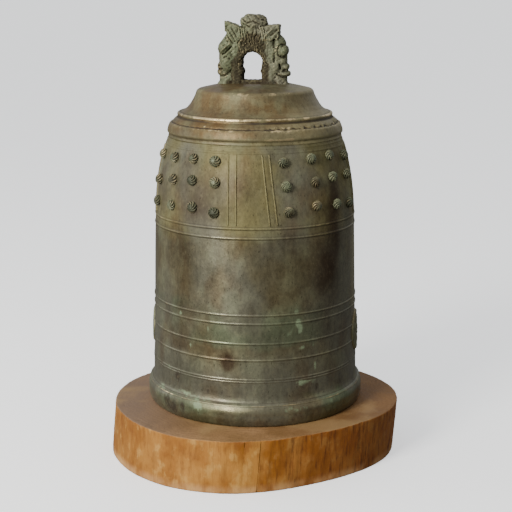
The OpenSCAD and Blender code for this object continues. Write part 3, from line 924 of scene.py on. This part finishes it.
def bronze(
    name, ground, other, *, pale=0.35, bare=0.45, rough=0.45, metal=0.55, dark=0.45, gloss=0.35,
    smooth=False, matt=()
):
    """Aged bronze: a patina of two colours, brownish and green stains, verdigris in blotches,
    dark hollows and pits, edges rubbed pale or to bare metal, and broad kept changes that are
    partly patina and partly painted highlights, reflections and shade.

    ground may be a list of (height in bell units, colour) that the colour follows upwards.
    pale, dark and bare say how much pale green, dark green and bare metal there is.
    rough, metal and gloss are its roughness, metalness and specular level before stains.
    smooth is for turned surfaces, whose patina changes gently; the others are more rugged.
    matt is a height below and one above between which the metal turns duller.
    """
    n = Nodes(bpy.data.materials.new(name))
    relief, stain, tone_and_painted_light = n.kept("relief"), n.kept("stain"), n.kept("tone_and_painted_light")
    detail, grit = (3, 0.5) if smooth else (7, 0.67)
    if isinstance(ground, list):
        top = ground[-1][0]
        wobble = n.spread(n.noise(0.06, 1, 4, 0.6, 4.4), 0.2, 0.8, -0.012, 0.012)
        above = n.math("ADD", n.math("SUBTRACT", n.height(), LEVEL_Z), wobble)
        share = n.math("DIVIDE", above, top * UNIT, True)
        ground = n.ramp(share, [(z / top, tint) for z, tint in ground])
    broad = n.noise(0.10, 1.2, 3, 0.5, 3.1)
    blotch = n.noise(0.034, 1.2, detail, grit, 7.7)
    fine = n.noise(0.0048, 1.5, 5, 0.7, 5.0)
    speck = n.noise(0.0021, 1.7, 2, 0.5, 9.0)
    streak = n.noise(0.009, 6, detail, grit, 1.3)
    rusty = n.noise(0.05, 1.7, detail, grit, 11.2)
    shady = n.noise(0.046, 1.3, detail, grit, 12.4)
    tone = n.mix(n.spread(broad, 0.38, 0.62), ground, other)
    tone = n.over(tone, RUST, rusty, 0.5, 0.68, 0.4 if smooth else 0.55)
    green = n.times(n.spread(blotch, 0.5, 0.7), pale)
    tone = n.mix(green, tone, PALE_GREEN)
    tone = n.over(tone, DARK_GREEN, shady, 0.52, 0.7, dark)
    tone = n.over(tone, DEEP, streak, 0.54, 0.7, 0.16 if smooth else 0.3)
    tone = n.over(tone, PALE_GREEN, streak, 0.46, 0.32, 0.08 if smooth else 0.14)
    # the broad kept changes: browner and darker below 0, paler above 0; partly patina, partly painted
    # highlights, reflections and shade
    tone = n.over(tone, DARK_BROWN, tone_and_painted_light, -0.05, -1.0, 0.85)
    tone = n.over(tone, WORN, tone_and_painted_light, 0.05, 1.0, 0.5)
    # the marks kept with the points, broken up so that they have ragged edges
    ragged = n.math("ADD", stain, n.spread(fine, 0.3, 0.7, -0.3, 0.3))
    verdigris = n.times(n.spread(ragged, 0.25, 0.8), n.spread(stain, 0.05, 0.4))
    tone = n.mix(n.times(verdigris, 0.75), tone, VERDIGRIS)
    soiled = n.times(n.spread(ragged, -0.1, -0.75), n.spread(stain, 0.0, -0.3))
    tone = n.mix(n.times(soiled, 0.85), tone, DEEP)
    # fine breaking up, pits, hollows and wear
    tone = n.over(tone, DEEP, fine, 0.44, 0.72, 0.3)
    tone = n.over(tone, WORN, fine, 0.5, 0.28, 0.16)
    tone = n.over(tone, DEEP, speck, 0.64, 0.72, 0.5)
    hollow = n.spread(relief, -0.08, -0.7)
    tone = n.mix(n.times(hollow, 0.85), tone, DEEP)
    tone = n.over(tone, WORN, relief, 0.2, 0.8, 0.2)
    uneven = n.noise(0.024, 1.2, 7, 0.68, 7.7)
    rub = n.math("ADD", relief, n.spread(uneven, 0.3, 0.7, -0.7, 0.7))
    rub = n.times(n.spread(rub, 0.8, 1.4), n.spread(relief, 0.2, 0.6), bare)
    tone = n.mix(rub, tone, BARE)
    crust = n.math("ADD", n.math("ADD", green, verdigris), n.math("ADD", hollow, soiled), True)
    roughness = n.spread(blotch, 0.3, 0.72, rough - 0.06, rough + 0.1)
    roughness = n.math("ADD", roughness, n.times(crust, 0.2), True)
    roughness = n.math("SUBTRACT", roughness, n.times(rub, 0.16), True)
    metallic = n.math("SUBTRACT", n.math("ADD", metal, n.times(rub, 0.4)), n.times(crust, 0.4), True)
    if matt:
        dull = n.spread(n.height(), *(LEVEL_Z + z * UNIT for z in matt))
        roughness = n.math("ADD", roughness, n.times(dull, 0.24), True)
        metallic = n.math("SUBTRACT", metallic, n.times(dull, 0.15), True)
    lift = n.bump(n.noise(0.018, 1, detail, grit, 2.0), 0.0014, strength=0.25 if smooth else 0.4)
    lift = n.bump(fine, 0.0005, lift, 0.3)
    lift = n.bump(speck, 0.0004, lift, 0.3)
    return n.finish(
        Base_Color=tone, Roughness=roughness, Metallic=metallic, Specular_IOR_Level=gloss, Normal=lift
    )


SHELL_GROUNDS = [
    (0, LIP_DARK), (12, LIP_DARK), (18, LIP_PALE), (26, LIP_PALE), (31, GREY), (60, GREY),
    (86, BROWN_GREY), (104, BROWN_GREY), (114, GREY_GREEN), (148, GREY_GREEN), (162, BROWN_GREY),
    (240, BROWN_GREY), (262, OLIVE), (366, OLIVE),
]
CROWN_GROUNDS = [(355, OLIVE), (369, OLIVE), (373, BROWN_GREY), (386, BROWN), (430, BROWN), (445, BROWN)]


def wood():
    """End grain with growth rings above and below, and bare sapwood streaks round the side."""
    n = Nodes(bpy.data.materials.new("wood"))
    normal = n.new("NewGeometry").outputs["Normal"]
    up = n.new("SeparateXYZ", {0: normal}).outputs["Z"]
    end = n.spread(n.math("ABSOLUTE", up), 0.35, 0.85)
    # growth rings about the pith, which lies off the middle
    flat = n.vector("MULTIPLY", n.vector("SUBTRACT", n.place, (0.012, -0.018, 0.0)), (1.0, 1.08, 0.0))
    out = n.vector("LENGTH", flat, result="Value")
    wander = n.spread(n.noise(0.09, 1, 4, 0.55), 0.2, 0.8, -0.014, 0.014)
    ring = n.math("SINE", n.times(n.math("ADD", out, wander), 2 * math.pi / 0.0068))
    ring = n.spread(ring, -0.4, 1.0)
    rays = n.noise(0.003, 1, 4, 0.65, 3.0)
    stain = n.noise(0.05, 1, 6, 0.62, 8.0)
    top = n.mix(n.spread(stain, 0.3, 0.7), colour(116, 86, 50), colour(146, 112, 74))
    top = n.mix(n.times(ring, n.spread(rays, 0.2, 0.6), 0.24), top, colour(84, 54, 28))
    top = n.over(top, colour(78, 50, 28), rays, 0.48, 0.7, 0.35)
    # greyer to the left, browner to the right, with pale patches
    left, right = n.spread(n.along("X"), -0.02, -0.17), n.spread(n.along("X"), 0.0, 0.13)
    top = n.mix(n.times(left, 0.65), top, colour(106, 90, 78))
    top = n.mix(n.times(right, 0.6), top, colour(102, 68, 30))
    pale = n.times(n.spread(n.noise(0.07, 1, 3, 0.5, 5.5), 0.5, 0.68), 0.5)
    top = n.mix(pale, top, colour(150, 122, 80))
    # the side: upright grain, broad golden and brown mottling, darker towards the right
    streak = n.noise(0.005, 8, 5, 0.6, 1.0)
    broad = n.noise(0.034, 1.5, 4, 0.55, 5.0)
    hair = n.noise(0.0014, 20, 3, 0.6, 2.0)
    patch = n.noise(0.016, 1.5, 6, 0.62, 6.0)
    side = n.mix(n.spread(broad, 0.36, 0.64), colour(138, 86, 26), colour(166, 116, 52))
    side = n.mix(n.times(left, 0.45), side, colour(130, 86, 36))
    side = n.over(side, colour(190, 148, 80), patch, 0.52, 0.68, 0.55)
    side = n.over(side, colour(112, 62, 18), patch, 0.48, 0.34, 0.45)
    side = n.mix(n.times(right, 0.6), side, colour(124, 66, 16))
    dark_streak = n.times(n.spread(streak, 0.5, 0.68), n.spread(right, 0.0, 1.0, 0.25, 0.8))
    side = n.mix(dark_streak, side, colour(78, 36, 6))
    side = n.over(side, colour(84, 46, 18), hair, 0.5, 0.7, 0.25)
    foot = n.times(n.spread(n.height(), 0.014, 0.003), n.spread(broad, 0.3, 0.6))
    side = n.mix(n.times(foot, 0.5), side, colour(196, 156, 108))
    tone = n.mix(end, side, top)
    # darker in the cracks, chips and hollows: painted shade
    tone = n.over(tone, colour(44, 24, 10), n.kept("relief"), -0.1, -0.8, 0.8)
    grain = n.mix(end, streak, stain)
    lift = n.bump(grain, 0.0007, strength=0.4)
    lift = n.bump(n.mix(end, patch, rays), 0.0007, lift, 0.5)
    roughness = n.spread(stain, 0.3, 0.7, 0.56, 0.72)
    return n.finish(Base_Color=tone, Roughness=roughness, Specular_IOR_Level=0.28, Normal=lift)


def dress(obj, material):
    obj.data.materials.clear()
    obj.data.materials.append(material)


# ---- the stage and the making

def make_floor():
    """A pale floor so wide that its edge lies beyond the view."""
    mesh = bpy.data.meshes.new("floor")
    corners = [(x * FLOOR_HALF, y * FLOOR_HALF, 0) for x, y in ((-1, -1), (1, -1), (1, 1), (-1, 1))]
    mesh.from_pydata(corners, [], [(0, 1, 2, 3)])
    n = Nodes(bpy.data.materials.new("floor"))
    seen = n.new("LightPath").outputs["Is Camera Ray"]
    mesh.materials.append(
        n.finish(
            Base_Color=n.mix(seen, FLOOR_LIT, FLOOR_SHOWN),
            Roughness=0.8,
            Specular_IOR_Level=0.0,
            Emission_Color=SKY_SHOWN,
            Emission_Strength=n.times(seen, FLOOR_GLOW),
        )
    )
    floor = placed("floor", mesh)


def softbox(name, turn, height, distance, wide, tall, power, tint):
    """One of SOFTBOXES, aimed at the bell."""
    light = bpy.data.lights.new(name, "AREA")
    light.shape = "RECTANGLE"
    light.size, light.size_y = wide, tall
    light.energy = power
    light.color = tint
    obj = placed(name, light)
    a = math.radians(turn)
    obj.location = (-distance * math.sin(a), -distance * math.cos(a), height)
    obj.rotation_euler = (obj.location - LIT).to_track_quat("Z", "Y").to_euler()


def make_world():
    """Even and pale to the camera; as light, bright to the left, dim to the right and front."""
    n = Nodes(bpy.data.worlds.new("studio"))
    bpy.context.scene.world = n.owner
    way = n.new("TexCoord").outputs["Generated"]
    left = n.vector("DOT_PRODUCT", way, (-0.86, -0.2, 0.3), "Value")
    back = n.vector("DOT_PRODUCT", way, (0.35, 0.94, 0.0), "Value")
    up = n.new("SeparateXYZ", {0: way}).outputs["Z"]
    glow = n.spread(left, -0.1, 1.0, SKY_LOW, SKY_LEFT)
    glow = n.math("ADD", glow, n.spread(back, 0.45, 0.95, 0.0, SKY_BACK))
    glow = n.math("ADD", glow, n.spread(up, 0.15, 0.9, 0.0, SKY_TOP))
    seen = n.new("LightPath").outputs["Is Camera Ray"]
    light = n.new("Background", {"Color": SKY_LIGHT, "Strength": glow}).outputs[0]
    shown = n.new("Background", {"Color": SKY_SHOWN, "Strength": 1.0}).outputs[0]
    both = n.new("MixShader", {0: seen, 1: light, 2: shown}).outputs[0]
    n.feed(n.tree.nodes["World Output"].inputs["Surface"], both)


def make_camera():
    data = bpy.data.cameras.new("camera")
    data.lens = CAMERA_LENS
    data.sensor_width = CAMERA_FILM
    data.shift_x = CAMERA_SHIFT
    camera = placed("camera", data)
    right, front = CAMERA_AWAY * math.sin(CAMERA_TURN), CAMERA_AWAY * math.cos(CAMERA_TURN)
    camera.location = (right, -front, LEVEL_Z + CAMERA_ABOVE)
    camera.rotation_euler = (math.pi / 2 - CAMERA_DIP, 0, CAMERA_TURN)
    bpy.context.scene.camera = camera


# each bronze: what is made of it, its slot, ground colour, other colour, and what sets it apart
BRONZES = (
    (make_shell, "bronze_body", SHELL_GROUNDS, GREY, dict(
        pale=0.2, bare=0.7, rough=0.37, metal=0.62, dark=0.28, smooth=True, matt=(248, 262))),
    (make_crown, "bronze_crown", CROWN_GROUNDS, BROWN_GREY, dict(
        pale=0.3, bare=0.85, dark=0.25, smooth=True)),
    (make_loop, "bronze_loop", GREY_GREEN, GREY, dict(
        pale=0.4, bare=0.25, rough=0.6, metal=0.3, gloss=0.12)),
    (make_bosses, "bronze_bosses", GREY_GREEN, DARK_GREEN, dict(
        pale=0.6, bare=0.35, rough=0.5, metal=0.4)),
    (make_cords, "bronze_cords", OLIVE, BROWN_GREY, dict(pale=0.3, bare=0.2, rough=0.55, metal=0.4)),
    (make_seats, "bronze_seats", BROWN_GREY, GREY_GREEN, dict(pale=0.4, bare=0.12, rough=0.52)),
)

make_camera()
make_world()
for box_name, box_facts in SOFTBOXES.items():
    softbox(box_name, *box_facts)
make_floor()
for make, bronze_slot, ground_tint, other_tint, look in BRONZES:
    bronze_metal = bronze(bronze_slot, ground_tint, other_tint, **look)
    for made_piece in make():
        dress(made_piece, bronze_metal)
dress(make_slab(), wood())
